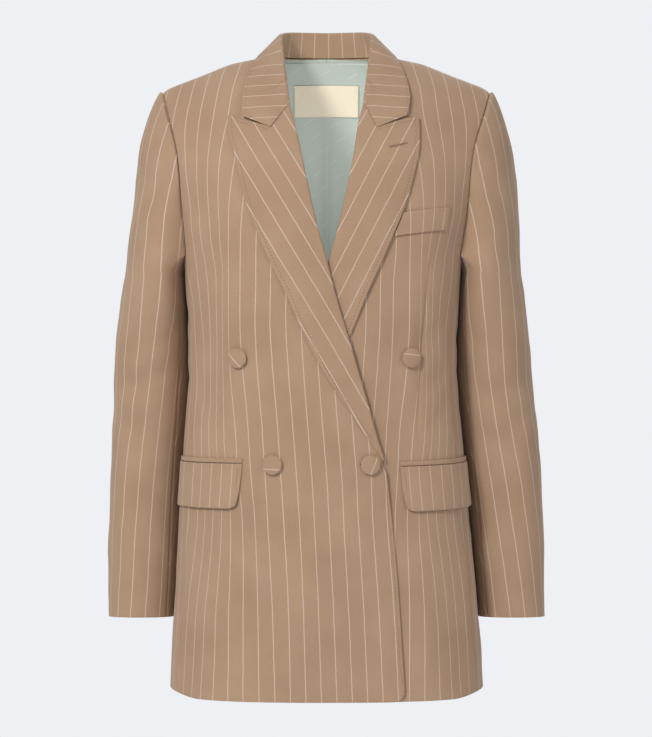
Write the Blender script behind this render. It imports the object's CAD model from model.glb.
# A double-breasted blazer in striped wool, buttoned and filled out as when it is worn.
import bpy, bmesh
from math import atan2, cos, exp, pi, radians, sin, sqrt
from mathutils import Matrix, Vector, noise


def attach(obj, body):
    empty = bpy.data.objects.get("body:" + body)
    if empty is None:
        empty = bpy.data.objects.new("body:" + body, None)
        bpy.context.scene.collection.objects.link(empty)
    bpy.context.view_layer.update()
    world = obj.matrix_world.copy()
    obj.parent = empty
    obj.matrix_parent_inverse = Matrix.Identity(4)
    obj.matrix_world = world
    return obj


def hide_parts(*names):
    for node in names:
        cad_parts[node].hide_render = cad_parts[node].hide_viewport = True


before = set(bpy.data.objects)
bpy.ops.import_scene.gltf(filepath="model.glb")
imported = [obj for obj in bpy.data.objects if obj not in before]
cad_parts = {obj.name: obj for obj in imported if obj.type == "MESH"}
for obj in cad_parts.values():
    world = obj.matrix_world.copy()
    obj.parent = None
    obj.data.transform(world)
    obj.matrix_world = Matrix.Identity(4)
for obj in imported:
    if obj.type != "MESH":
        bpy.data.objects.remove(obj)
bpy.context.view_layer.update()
mm = 0.001  # the tables below are in millimetres

# ---- camera, light and floor

studio = {
    "eye": (-0.0006, -2.8, -0.374), "seenHeight": 0.8844,
    "backdrop": (238, 240, 244), "domeStrength": 0.5,
    "keyAt": (-1.4, -2.5, 1.15), "keySize": 0.6, "keyPower": 60.0,
    "fillAt": (2.3, -2.2, 0.3), "fillSize": 2.4, "fillPower": 12.2,
    "rimAt": (0.3, 2.4, 1.4), "rimSize": 1.8, "rimPower": 26.0,
    "insideAt": (0.0, -0.088, -0.15), "insideSize": 0.12, "insidePower": 0.158,
    "aim": (0, 0, -0.38), "insideAim": (0, 0.1, -0.12),
    "floorZ": -1.3, "floorRadius": 3.0, "floorColour": (240, 242, 246), "floorRoughness": 0.9,
}


def srgb(red, green, blue):
    def linear(level):
        c = level / 255
        return c / 12.92 if c <= 0.04045 else ((c + 0.055) / 1.055) ** 2.4
    return (linear(red), linear(green), linear(blue), 1.0)


def aim(obj, target):
    obj.rotation_euler = (Vector(target) - obj.location).to_track_quat("-Z", "Y").to_euler()


def link(obj):
    bpy.context.scene.collection.objects.link(obj)
    return obj


def pieceFrom(bm, name, *finishes):
    mesh = bpy.data.meshes.new(name)
    bm.to_mesh(mesh)
    bm.free()
    for finish in finishes:
        mesh.materials.append(finish)
    return link(bpy.data.objects.new(name, mesh))


def setUpStudio():
    scene = bpy.context.scene
    scene.view_settings.view_transform = "Standard"
    lens = bpy.data.cameras.new("photoCamera")
    lens.sensor_width = 36
    lens.lens = 36 * abs(studio["eye"][1]) / studio["seenHeight"]
    lens.clip_end = 50
    camera = bpy.data.objects.new("photoCamera", lens)
    camera.location = studio["eye"]
    camera.rotation_euler = (pi / 2, 0, 0)
    scene.camera = link(camera)
    # the one called inside is a small lamp in the neck, as the photo's lining is lit on its own
    for name in ("key", "fill", "rim", "inside"):
        light = bpy.data.lights.new(name, "AREA")
        light.size, light.energy = studio[name + "Size"], studio[name + "Power"]
        lamp = link(bpy.data.objects.new(name, light))
        lamp.location = studio[name + "At"]
        lamp.visible_camera = False
        aim(lamp, studio["insideAim" if name == "inside" else "aim"])
    world = bpy.data.worlds.new("softDome")
    scene.world = world
    world.use_nodes = True
    tree = world.node_tree
    tree.nodes.clear()
    seen = tree.nodes.new("ShaderNodeBackground")
    seen.inputs["Color"].default_value = srgb(*studio["backdrop"])
    dome = tree.nodes.new("ShaderNodeBackground")
    dome.inputs["Color"].default_value = (1, 1, 1, 1)
    dome.inputs["Strength"].default_value = studio["domeStrength"]
    path = tree.nodes.new("ShaderNodeLightPath")
    choose = tree.nodes.new("ShaderNodeMixShader")
    out = tree.nodes.new("ShaderNodeOutputWorld")
    tree.links.new(path.outputs["Is Camera Ray"], choose.inputs[0])
    tree.links.new(dome.outputs[0], choose.inputs[1])
    tree.links.new(seen.outputs[0], choose.inputs[2])
    tree.links.new(choose.outputs[0], out.inputs["Surface"])
    bm = bmesh.new()
    bmesh.ops.create_circle(bm, cap_ends=True, segments=96, radius=studio["floorRadius"])
    bmesh.ops.translate(bm, verts=bm.verts, vec=(0, 0, studio["floorZ"]))
    paint = bpy.data.materials.new("palePaint")
    paint.use_nodes = True
    shader = paint.node_tree.nodes["Principled BSDF"]
    shader.inputs["Base Color"].default_value = srgb(*studio["floorColour"])
    shader.inputs["Roughness"].default_value = studio["floorRoughness"]
    floor = pieceFrom(bm, "studioFloor", paint)


setUpStudio()
print("camera, light and floor are set")

# ---- small tools


def mix(a, b, t):
    return a + (b - a) * t


def clamp01(t):
    return min(1.0, max(0.0, t))


def ease(start, end, at):
    t = clamp01((at - start) / (end - start))
    return t * t * (3 - 2 * t)


def curveThrough(pairs, step=0.5):
    # a smooth curve through (key, value) pairs, level past its ends
    count = max(2, int((pairs[-1][0] - pairs[0][0]) / step) + 1)
    first, last = pairs[0][0], pairs[-1][0]

    def slope(a, b):
        return (pairs[b][1] - pairs[a][1]) / (pairs[b][0] - pairs[a][0])

    samples = []
    i = 0
    for n in range(count):
        key = mix(first, last, n / (count - 1))
        while i < len(pairs) - 2 and key > pairs[i + 1][0]:
            i += 1
        width = pairs[i + 1][0] - pairs[i][0]
        t = clamp01((key - pairs[i][0]) / width)
        here = slope(i, i + 1)
        a = slope(i - 1, i + 1) if i > 0 else here
        b = slope(i, i + 2) if i < len(pairs) - 2 else here
        samples.append(pairs[i][1] * (2 * t**3 - 3 * t**2 + 1) + a * width * (t**3 - 2 * t**2 + t)
                       + pairs[i + 1][1] * (3 * t**2 - 2 * t**3) + b * width * (t**3 - t**2))

    def at(key):
        f = (key - first) / (last - first) * (count - 1)
        if f <= 0:
            return samples[0]
        if f >= count - 1:
            return samples[-1]
        k = int(f)
        return samples[k] + (samples[k + 1] - samples[k]) * (f - k)
    return at


def curvesFrom(rows, *names):
    # rows begin with their key; gives one curve for each named column after it
    return {name: curveThrough([(row[0], row[k + 1]) for row in rows]) for k, name in enumerate(names)}


# ---- the form, as in the part's source

sizes = {
    "hemZ": -757, "chestZ": -240, "capZ": -262, "cuffZ": -672, "shoulderTipX": 196, "neckPointX": 75,
    "backNeckDepth": 62, "backNeckRise": 6, "gorgeZ": -64.5, "breakZ": -480, "underlap": 6.2,
    "sideSeam": 62, "underarmSeam": 68, "backSeam": 118,
}
hemZ, chestZ, capZ, cuffZ = (sizes[k] for k in ("hemZ", "chestZ", "capZ", "cuffZ"))
gorgeZ, breakZ = sizes["gorgeZ"], sizes["breakZ"]
shoulderTipX, neckPointX = sizes["shoulderTipX"], sizes["neckPointX"]
sideSeam, backSeam = sizes["sideSeam"], sizes["backSeam"]

body = curvesFrom([
    (-757, 186.5, -128, 119, 2.75), (-709, 184, -126, 117, 2.75), (-636, 179, -122.5, 113, 2.7),
    (-556, 173.5, -119, 107, 2.65), (-477, 167.4, -117, 99, 2.6), (-432, 163.5, -117, 94, 2.6),
    (-389, 160.3, -119, 92, 2.6), (-349, 160, -122, 94, 2.6), (-292, 162.5, -126, 100, 2.6),
    (-240, 167, -128, 105, 2.6), (-200, 175, -128, 105, 2.6), (-160, 184, -128, 105, 2.6),
    (-120, 194, -128, 105, 2.6), (-80, 206, -128, 105, 2.6), (-43, 216, -128, 105, 2.6),
    (40, 232, -128, 105, 2.6),
], "halfWidth", "front", "back", "roundness")
swayCurve = curveThrough([
    (-757, 0), (-636, 0), (-556, -2), (-477, -3.5), (-412, -4.2), (-330, -4.8), (-240, -4), (-196, -2.5),
    (-109, -1.5), (-43, 0), (60, 0),
])
shoulderCurve = curveThrough([
    (0, 6), (40, 4.5), (60, 2.5), (75, 0), (90, -3.2), (106, -6.5), (117, -9.3), (150, -22.5), (175, -32),
    (190, -38.5), (196, -43),
])
armholeCurve = curveThrough([
    (-240, 161.3), (-225, 163), (-200, 166), (-170, 169), (-150, 170.5), (-125, 173.5), (-103, 178.5),
    (-76, 187), (-43, 196),
])
frontEdgeCurve = curveThrough([
    (-757, -90.5), (-713, -88.2), (-642, -84), (-560, -78.2), (-510, -73), (-480, -68.5), (-455, -60.5),
    (-417, -49.6), (-376, -37.3), (-338, -25.8), (-295, -12.4), (-243, 1.2), (-212, 9.8), (-149, 23.8),
    (-97, 34.7), (-64.5, 43.1),
])
neckEdgeCurve = curveThrough([(-64.5, 48.5), (-46, 55.5), (-27, 62), (-9, 69.5), (0, 75.3)])
lapelEdgeCurve = curveThrough([
    (-477, -65), (-469, -59.7), (-451, -46.2), (-426, -29.3), (-395, -7.5), (-363, 10.9), (-325, 29.2),
    (-286, 45.7), (-246, 64.7), (-183, 90.1), (-112, 107), (-80, 113.4),
])
gorges = {
    "right": {"fold": (43.1, -69), "notch": (62.7, -96), "tip": (96.1, -84.5), "peak": (113.4, -80.5),
              "spread": 0},
    "left": {"fold": (43.1, -69), "notch": (57.5, -96), "tip": (93, -83.5), "peak": (107, -83), "spread": 3},
}


def sectionAt(z):
    front, back = body["front"](z), body["back"](z)
    middle = (front + back) / 2
    return body["halfWidth"](z), middle, middle - front, body["roundness"](z)


def ringPoint(angle, z):
    halfWidth, middle, halfDepth, power = sectionAt(z)
    across, along = sin(radians(angle)), cos(radians(angle))
    reach = (abs(across) ** power + abs(along) ** power) ** (-1 / power)
    return Vector((halfWidth * reach * across, middle - halfDepth * reach * along, z))


def ringAngle(x, z):
    halfWidth, _, _, power = sectionAt(z)
    across = min(0.999, abs(x) / halfWidth)
    along = (1 - across**power) ** (1 / power)
    return (1 if x > 0 else -1) * atan2(across, along) * 180 / pi


def shoulderZ(x):
    return shoulderCurve(abs(x))


def sideSeamAt(z):
    # the side seam swings back towards the armhole
    return mix(sideSeam, sizes["underarmSeam"], ease(-340, -262, z))


def fullness(drop, power):
    t = clamp01(drop)
    return (1 - (1 - t) ** 2) ** power


def yokePower(x):
    return 0.6 + 0.1 * sin(pi * ease(neckPointX, shoulderTipX + 20, abs(x)))


def frontY(x, z):
    halfWidth, middle, halfDepth, power = sectionAt(z)
    across = min(0.999, abs(x) / halfWidth)
    y = middle - halfDepth * (1 - across**power) ** (1 / power)
    if z <= chestZ:
        return y
    top = shoulderZ(x)
    return y * fullness((top - z) / (top - chestZ), yokePower(x))


def frontNormal(x, z):
    step = 0.4
    slopeX = (frontY(x + step, z) - frontY(x - step, z)) / (2 * step)
    slopeZ = (frontY(x, z + step) - frontY(x, z - step)) / (2 * step)
    return Vector((slopeX, -1, slopeZ)).normalized()


def onFront(x, z, lift=0.0):
    return Vector((x, frontY(x, z), z)) + frontNormal(x, z) * lift


def onRing(angle, z, lift):
    a = ringPoint(angle + 0.2, z) - ringPoint(angle - 0.2, z)
    b = ringPoint(angle, z + 0.5) - ringPoint(angle, z - 0.5)
    return ringPoint(angle, z) + a.cross(b).normalized() * lift


def frontDepth(side, x, z):
    # the left front lies under the right one
    if side == "right":
        return 0.0
    across = 1 - ease(78, 150, x)
    low = mix(1, 0.5, ease(-490, -570, z))
    return -sizes["underlap"] * across * ease(-120, -225, z) * low


def edgeX(side, z):
    return frontEdgeCurve(z) + gorges[side]["spread"] * ease(-80, -130, z) * ease(-520, -470, z)


def swayAt(x, z):
    return swayCurve(z) * ease(0, 140, abs(x))


# ---- cloth from grids

def spread(width, space, tight=(0, 0.9, 2.0, 3.3, 5.0)):
    # shares across a width, close together near both edges
    near = [d / width for d in tight]
    count = max(1, round((width - 2 * tight[-1]) / space))
    middle = [mix(near[-1], 1 - near[-1], k / count) for k in range(count + 1)]
    return near[:-1] + middle + [1 - d for d in reversed(near[:-1])]


def arcsAcross(points, start):
    # level distance along each row from a starting column
    rows = []
    for row in points:
        run = [0.0]
        for a, b in zip(row, row[1:]):
            run.append(run[-1] + sqrt((b.x - a.x) ** 2 + (b.y - a.y) ** 2))
        rows.append([r - run[start] for r in run])
    return rows


def softNoise(point, size, depth, seed):
    return depth * noise.noise(point / size + Vector((seed, seed * 0.7, -seed)))


def foldDepth(folds, a, b):
    # soft troughs and ridges along short lines: from, to, width, depth
    total = 0.0
    for (a0, b0), (a1, b1), width, depth in folds:
        da, db = a1 - a0, b1 - b0
        length2 = da * da + db * db
        t = ((a - a0) * da + (b - b0) * db) / length2
        if t <= 0 or t >= 1:
            continue
        off = ((a - a0) * db - (b - b0) * da) / sqrt(length2) / width
        if abs(off) < 2.6:
            total += depth * sin(pi * t) ** 0.8 * exp(-off * off)
    return total


def hemRise(name, p):
    # the hem is a little shorter at the sides, and the cuffs in front
    if name.startswith("sleeve"):
        return 0.055 * (12 - p.y) * ease(-600, -672, p.z)
    return 5.5 * ease(148, 188, p.x) * ease(-560, -757, p.z)


def layCloth(name, points, grain, outward, wall, materials, mirrored=False, edge=0.5, middle=False):
    # turns rows of places into a piece of cloth with a grain map, a thickness and soft edges
    columns, rows = len(points[0]), len(points)
    bm = bmesh.new()
    bmesh.ops.create_grid(bm, x_segments=columns - 1, y_segments=rows - 1, size=0.5)
    where = {}
    for vert in bm.verts:
        i, j = round((vert.co.x + 0.5) * (columns - 1)), round((vert.co.y + 0.5) * (rows - 1))
        where[vert.index] = (i, j)
        p = points[j][i]
        x = -p.x if mirrored else p.x
        p = p + Vector((0, 0, hemRise(name, p)))
        vert.co = Vector((x + swayAt(x, p.z), p.y, p.z)) * mm
    grainMap = bm.loops.layers.uv.new("grain")
    for face in bm.faces:
        face.smooth = True
        for loop in face.loops:
            i, j = where[loop.vert.index]
            loop[grainMap].uv = (grain[0][j][i] * mm, grain[1][j][i] * mm)
    bm.normal_update()
    towards = Vector((-outward[0] if mirrored else outward[0], outward[1], outward[2]))
    if sum(f.normal.dot(towards) * f.calc_area() for f in bm.faces) < 0:
        bmesh.ops.reverse_faces(bm, faces=bm.faces)
    piece = pieceFrom(bm, name, *materials)
    shell = piece.modifiers.new("wall", "SOLIDIFY")
    shell.thickness = wall * mm
    shell.offset = 0 if middle else -1
    shell.use_even_offset = False
    shell.material_offset = len(materials) - 1
    if edge:
        soft = piece.modifiers.new("softEdge", "BEVEL")
        soft.width = edge * mm
        soft.segments = 2
        soft.limit_method = "ANGLE"
        soft.angle_limit = radians(50)
    return piece


def sew(piece, node):
    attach(piece, "root")
    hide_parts(node)
    return piece


# ---- finishes

wool = {
    "ground": (174, 145, 119), "shade": (156, 126, 101), "stripe": (206, 184, 167), "spacing": 0.0178,
    "stripeWidth": 0.00053, "wander": 0.0008, "pick": 0.0013, "twill": 0.0009,
    "roughness": 0.88, "weave": 0.00012,
}
liningSatin = {
    "ground": (184, 193, 184), "light": (201, 209, 201), "row": 0.027, "dash": 0.031,
    "roughness": 0.42, "gloss": 0.32, "weave": 0.00008,
}
creamWeave = {
    "ground": (250, 237, 214), "shade": (242, 227, 202), "rib": 0.0008, "roughness": 0.62, "weave": 0.00006,
}
threads = {
    "pick": (112, 82, 60), "hole": (142, 108, 88), "lapelHole": (168, 134, 112), "label": (216, 202, 180),
    "eye": (38, 28, 24), "roughness": 0.6, "dark": 0.72, "twist": 0.00006,
}


def wire(socket, value):
    # value is another socket, a number or a colour
    if hasattr(value, "node"):
        socket.id_data.links.new(value, socket)
    else:
        socket.default_value = value


def sums(operation, a, b=0.0):
    n = a.id_data.nodes.new("ShaderNodeMath")
    n.operation = operation
    wire(n.inputs[0], a)
    wire(n.inputs[1], b)
    return n.outputs[0]


def times(a, b):
    return sums("MULTIPLY", a, b)


def plus(a, b):
    return sums("ADD", a, b)


def wave(value, length):
    return sums("SINE", times(value, 2 * pi / length))


def fromMiddle(value):
    # how far the fraction of a value is from a half
    return sums("ABSOLUTE", sums("SUBTRACT", sums("FRACT", value), 0.5))


def ramp(value, low, high, toLow=0.0, toHigh=1.0):
    n = value.id_data.nodes.new("ShaderNodeMapRange")
    n.interpolation_type = "SMOOTHSTEP"
    levels = {"Value": value, "From Min": low, "From Max": high, "To Min": toLow, "To Max": toHigh}
    for name, level in levels.items():
        wire(n.inputs[name], level)
    return n.outputs["Result"]


def speckle(place, scale, detail, rough=0.55):
    n = place.id_data.nodes.new("ShaderNodeTexNoise")
    for name, value in (("Vector", place), ("Scale", scale), ("Detail", detail), ("Roughness", rough)):
        wire(n.inputs[name], value)
    return n.outputs[0]


def blendColours(share, a, b):
    n = share.id_data.nodes.new("ShaderNodeMix")
    n.data_type = "RGBA"
    for name, value in (("Factor", share), ("A", a), ("B", b)):
        wire(n.inputs[name], value)
    return n.outputs["Result"]


def acrossAndAlong(grain):
    split = grain.id_data.nodes.new("ShaderNodeSeparateXYZ")
    wire(split.inputs[0], grain)
    return split.outputs[0], split.outputs[1]


def startGroup(name):
    # a node group that reads the grain map, whose X runs across the stripes and Y along them, in metres
    tree = bpy.data.node_groups.new(name, "ShaderNodeTree")
    tree.interface.new_socket("Grain", in_out="INPUT", socket_type="NodeSocketVector")
    return tree, tree.nodes.new("NodeGroupInput").outputs["Grain"]


def endGroup(tree, **values):
    for name in values:
        tree.interface.new_socket(name, in_out="OUTPUT", socket_type="NodeSocketFloat")
    out = tree.nodes.new("NodeGroupOutput")
    for name, value in values.items():
        wire(out.inputs[name], value)
    return tree


def pinstripeGroup():
    tree, grain = startGroup("pinstripeAndTwill")
    across, along = acrossAndAlong(grain)
    wander = times(sums("SUBTRACT", speckle(grain, 45, 1), 0.5), wool["wander"])
    place = sums("DIVIDE", plus(across, wander), wool["spacing"])
    off = times(fromMiddle(plus(place, 0.5)), wool["spacing"])
    line = ramp(off, wool["stripeWidth"] * 1.5, wool["stripeWidth"] * 0.55)
    broken = plus(times(wave(along, wool["pick"]), 0.16), 0.84)
    worn = ramp(speckle(grain, 620, 2), 0.25, 0.6, 0.55, 1.0)
    stripe = times(times(line, broken), worn)
    slub = speckle(grain, 900, 4, 0.6)
    melange = plus(times(slub, 0.75), times(speckle(grain, 14, 2), 0.25))
    twill = wave(plus(across, times(along, 0.8)), wool["twill"])
    height = plus(plus(times(twill, 0.22), times(slub, 0.9)), times(stripe, 0.35))
    return endGroup(tree, Stripe=stripe, Melange=melange, Height=height)


def dashGroup():
    # slanted hairline dashes woven in the satin
    tree, grain = startGroup("satinDashes")
    x, y = acrossAndAlong(grain)
    row = sums("DIVIDE", sums("SUBTRACT", x, y), liningSatin["row"])
    line = ramp(fromMiddle(row), 0.032, 0.008)
    turn = plus(sums("DIVIDE", plus(x, y), liningSatin["dash"]), times(sums("FLOOR", row), 0.37))
    motif = times(line, ramp(fromMiddle(turn), 0.3, 0.22))
    height = plus(times(motif, 0.4), times(speckle(grain, 700, 2), 0.5))
    return endGroup(tree, Motif=motif, Height=height)


def newFinish(name, roughness, sheen=0.0, specular=0.3):
    material = bpy.data.materials.new(name)
    material.use_nodes = True
    shader = material.node_tree.nodes["Principled BSDF"]
    values = {"Roughness": roughness, "Specular IOR Level": specular}
    if sheen:
        values.update({"Sheen Weight": sheen, "Sheen Roughness": 0.45, "Sheen Tint": (1.0, 0.94, 0.88, 1.0)})
    for socket, value in values.items():
        shader.inputs[socket].default_value = value
    return material, shader


def grainOf(shader):
    uv = shader.id_data.nodes.new("ShaderNodeUVMap")
    uv.uv_map = "grain"
    return uv.outputs["UV"]


def withEffect(shader, group):
    effect = shader.id_data.nodes.new("ShaderNodeGroup")
    effect.node_tree = group
    wire(effect.inputs["Grain"], grainOf(shader))
    return effect.outputs


def raiseSurface(shader, height, distance):
    bump = shader.id_data.nodes.new("ShaderNodeBump")
    for name, value in (("Strength", 1.0), ("Distance", distance), ("Height", height)):
        wire(bump.inputs[name], value)
    wire(shader.inputs["Normal"], bump.outputs["Normal"])


def stripedWool():
    material, shader = newFinish("stripedWool", wool["roughness"], sheen=0.22, specular=0.2)
    effect = withEffect(shader, pinstripeGroup())
    ground = blendColours(ramp(effect["Melange"], 0.38, 0.62), srgb(*wool["shade"]), srgb(*wool["ground"]))
    wire(shader.inputs["Base Color"], blendColours(effect["Stripe"], ground, srgb(*wool["stripe"])))
    raiseSurface(shader, effect["Height"], wool["weave"])
    return material


def sageLining():
    satin = liningSatin
    material, shader = newFinish("sageLining", satin["roughness"], specular=0.45)
    effect = withEffect(shader, dashGroup())
    ground = blendColours(effect["Motif"], srgb(*satin["ground"]), srgb(*satin["light"]))
    wire(shader.inputs["Base Color"], ground)
    wire(shader.inputs["Roughness"], ramp(effect["Motif"], 0, 1, satin["roughness"], satin["gloss"]))
    raiseSurface(shader, effect["Height"], satin["weave"])
    return material


def creamLabel():
    material, shader = newFinish("creamLabel", creamWeave["roughness"], specular=0.35)
    grain = grainOf(shader)
    share = plus(times(wave(acrossAndAlong(grain)[1], creamWeave["rib"]), 0.12), speckle(grain, 500, 3))
    colour = blendColours(ramp(share, 0.3, 0.7), srgb(*creamWeave["shade"]), srgb(*creamWeave["ground"]))
    wire(shader.inputs["Base Color"], colour)
    raiseSurface(shader, share, creamWeave["weave"])
    return material


def threadFinish(name, colour):
    material, shader = newFinish(name, threads["roughness"], sheen=0.1)
    twist = speckle(shader.id_data.nodes.new("ShaderNodeTexCoord").outputs["Object"], 2600, 2)
    light = srgb(*threads[colour])
    dark = tuple(threads["dark"] * c for c in light[:3]) + (1.0,)
    wire(shader.inputs["Base Color"], blendColours(twist, dark, light))
    raiseSurface(shader, twist, threads["twist"])
    return material


clothFinish, liningFinish, labelFinish = stripedWool(), sageLining(), creamLabel()
pickThread = threadFinish("tonalThread", "pick")
holeThread = threadFinish("holeThread", "hole")
lapelHoleThread = threadFinish("lapelHoleThread", "lapelHole")
print("finishes are mixed")

# ---- working with grids of places


def normalsOf(points, outward):
    rows, columns = len(points), len(points[0])
    normals = []
    for j in range(rows):
        line = []
        for i in range(columns):
            a = points[j][min(columns - 1, i + 1)] - points[j][max(0, i - 1)]
            b = points[min(rows - 1, j + 1)][i] - points[max(0, j - 1)][i]
            line.append(a.cross(b).normalized())
        normals.append(line)
    middle = normals[rows // 2][columns // 2]
    if middle.dot(Vector(outward)) < 0:
        normals = [[-n for n in line] for line in normals]
    return normals


def lifted(points, outward, lift):
    normals = normalsOf(points, outward)
    return [[p + normals[j][i] * lift(i, j, p) for i, p in enumerate(row)] for j, row in enumerate(points)]


def evenSteps(start, end, space):
    count = max(1, round(abs(end - start) / space))
    return [mix(start, end, k / count) for k in range(count + 1)]


def seamDip(distance, depth=0.75, width=1.7):
    return -depth * exp(-((distance / width) ** 2))


def turnedEdge(distance):
    # a pressed edge, with the groove that the pick stitches pull in
    roll = -0.7 * (1 - distance / 2.4) ** 2 if distance < 2.4 else 0.0
    return roll - 0.28 * exp(-(((distance - 4.4) / 1.1) ** 2))


class Stitches:
    # collects short threads and makes one mesh of them
    def __init__(self):
        self.bm = bmesh.new()

    def add(self, centre, direction, normal, length, width):
        # one thread, as a long bead
        side = direction.cross(normal).normalized()
        up = side.cross(direction).normalized()
        made = bmesh.ops.create_uvsphere(self.bm, u_segments=6, v_segments=5, radius=0.5)
        for vert in made["verts"]:
            c = vert.co
            vert.co = (centre + direction * (c.z * length) + side * (c.x * width) + up * (c.y * width)) * mm

    def along(self, path, spacing, length=1.7, width=0.5, sink=0.12):
        # path is a list of (place, outward normal)
        run = 0.0
        due = spacing / 2
        for (a, na), (b, nb) in zip(path, path[1:]):
            step = (b - a).length
            while step > 0 and run + step >= due:
                t = (due - run) / step
                normal = na.lerp(nb, t).normalized()
                self.add(a.lerp(b, t) - normal * sink, (b - a).normalized(), normal, length, width)
                due += spacing
            run += step

    def finish(self, name, material):
        for face in self.bm.faces:
            face.smooth = True
        piece = pieceFrom(self.bm, name, material)
        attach(piece, "root")


def mirroredPath(path, mirrored):
    out = []
    for p, n in path:
        x = -p.x if mirrored else p.x
        out.append((Vector((x + swayAt(x, p.z), p.y, p.z)), Vector((-n.x if mirrored else n.x, n.y, n.z))))
    return out


# ---- where the stripes of the fronts run: stripe numbers across, a row for each height

stripeNumbers = [0, 4, 6, 7, 8, 9, 10, 11, 12, 13, 14, 15, 16]
stripeTracks = [  # height, then where each of those stripes lies
    (-757, -82.9, -12.0, 23.5, 41.2, 59.0, 77.4, 95.9, 113.6, 131.5, 146.4, 156.7, 167.3, 175.7),
    (-652, -77.6, -8.0, 26.4, 43.6, 62.6, 79.3, 96.1, 112.4, 127.1, 140.2, 151.1, 161.6, 170.7),
    (-549, -70.9, -2.9, 30.9, 48.6, 66.8, 81.0, 95.3, 109.0, 119.3, 129.7, 140.3, 150.1, 160.2),
    (-503, -69.9, -0.6, 33.7, 51.4, 69.2, 84.7, 99.4, 112.5, 121.6, 131.3, 140.8, 150.0, 159.0),
    (-447, -65.9, 4.0, 37.7, 54.6, 72.1, 87.8, 102.4, 116.0, 124.4, 133.0, 141.9, 151.3, 160.0),
    (-387, -61.2, 8.6, 42.1, 59.2, 76.4, 92.6, 107.1, 116.6, 123.4, 130.7, 138.3, 147.1, 156.5),
    (-330, -57.6, 11.4, 45.4, 62.8, 79.1, 96.1, 109.5, 116.7, 122.9, 130.7, 139.3, 149.0, 158.0),
    (-295, -57.5, 10.9, 45.4, 62.8, 79.0, 96.2, 109.6, 116.9, 123.2, 132.0, 142.8, 151.8, 160.3),
    (-261, -58.6, 9.7, 44.8, 62.2, 78.8, 96.3, 109.7, 116.4, 124.6, 136.2, 148.0, 158.4, 169.0),
    (-226, -58.5, 9.7, 44.3, 61.8, 78.6, 96.3, 110.1, 119.7, 130.2, 142.2, 152.4, 163.3, 175.2),
    (-182, -61.9, 6.3, 41.1, 58.7, 76.9, 94.4, 110.0, 122.6, 134.7, 147.0, 157.7, 169.6, 182.9),
    (-129, -69.1, 0.6, 35.1, 52.2, 69.4, 86.6, 104.1, 121.6, 135.8, 149.2, 163.3, 178.2, 195.1),
    (-86, -75.2, -5.2, 29.0, 46.3, 63.7, 81.0, 98.1, 115.3, 132.4, 148.5, 164.6, 180.4, 196.8),
    (-41, -82.9, -13.5, 21.7, 39.3, 56.9, 74.0, 91.2, 109.6, 127.0, 142.9, 158.3, 173.9, 189.6),
    (-6, -89.1, -19.6, 15.4, 32.7, 49.9, 67.3, 84.2, 100.8, 118.8, 135.0, 151.8, 168.0, 184.2),
]
trackCurves = [curveThrough([(row[0], row[k + 1]) for row in stripeTracks])
               for k in range(len(stripeNumbers))]
pitch = wool["spacing"] / mm
sideStripeGap = 11  # where the cloth turns away round the side

# the left front's stripes lie a little further out, by these amounts near the lapel and near the dart
leftNearLapel = curveThrough([
    (-757, 0), (-447, 0.3), (-394, 1), (-323, 1.5), (-270, 3), (-229, 5.5), (-180, 3), (-134, 0.5),
    (-80, 0), (0, 0),
])
leftNearDart = curveThrough([
    (-757, 0), (-520, 0.5), (-447, 3), (-394, 5.5), (-323, 5.4), (-264, 5), (-182, 4.5), (-134, 3.5),
    (-80, 0), (0, 0),
])


def stripeAt(side, x, z):
    # the stripe number of a place on a front, with a fraction between stripes
    if side == "left":
        x -= mix(leftNearLapel(z), leftNearDart(z) * (1 - 0.6 * ease(140, 165, x)), ease(80, 108, x))
    places = [curve(z) for curve in trackCurves]
    if x <= places[0]:
        return (x - places[0]) / pitch
    if x >= places[-1]:
        return stripeNumbers[-1] + (x - places[-1]) / sideStripeGap
    k = 0
    while x > places[k + 1]:
        k += 1
    t = (x - places[k]) / (places[k + 1] - places[k])
    return mix(stripeNumbers[k], stripeNumbers[k + 1], t)


# ---- fronts

fronts = {  # folds: from, to, width and depth, each place as it is seen from the front
    "columnSpace": 2.0, "rowSpace": 3.3, "width": 236, "wall": 1.8, "lapelSetback": 2.9, "gorgeSetback": 2.5,
    "corner": 13, "cornerHeight": 45, "dart": (-248, -452), "dartDepth": {"right": 0.9, "left": 1.7},
    "seed": {"right": 3.1, "left": 8.4},
    "foldsRight": [
        ((80, -462), (70, -548), 8, -1.5), ((92, -470), (86, -600), 15, 1.1),
        ((166, -505), (134, -650), 20, -2.8), ((150, -560), (112, -690), 22, 1.8),
        ((168, -168), (118, -218), 15, -1.5), ((160, -214), (128, -290), 13, -1.2),
        ((-40, -480), (22, -468), 9, -1.4), ((-42, -497), (8, -566), 13, -1.6),
        ((-34, -470), (4, -432), 9, -1.1), ((18, -560), (28, -768), 25, 2.0),
        ((58, -600), (64, -770), 19, -1.6), ((-38, -560), (-52, -768), 22, -1.5),
        ((100, -372), (66, -470), 10, -0.9), ((150, -330), (118, -372), 11, -1.2),
        ((152, -392), (120, -430), 10, -1.3),
    ],
    "foldsLeft": [
        ((150, -318), (112, -352), 12, -1.9), ((154, -372), (114, -398), 10, -1.6),
        ((150, -418), (120, -446), 9, -1.2), ((108, -268), (98, -420), 9, 1.1),
        ((166, -205), (132, -268), 14, -1.6), ((142, -110), (150, -190), 18, -1.0),
        ((110, -560), (120, -768), 20, 2.2), ((146, -590), (152, -768), 17, -2.0),
        ((86, -600), (92, -768), 12, -1.2), ((70, -300), (60, -440), 20, 1.0),
    ],
}


def frontCut(side, z):
    return (edgeX(side, z) + fronts["lapelSetback"] * ease(breakZ - 16, breakZ - 3, z)
            + fronts["gorgeSetback"] * ease(-92, gorgeZ, z))


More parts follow.
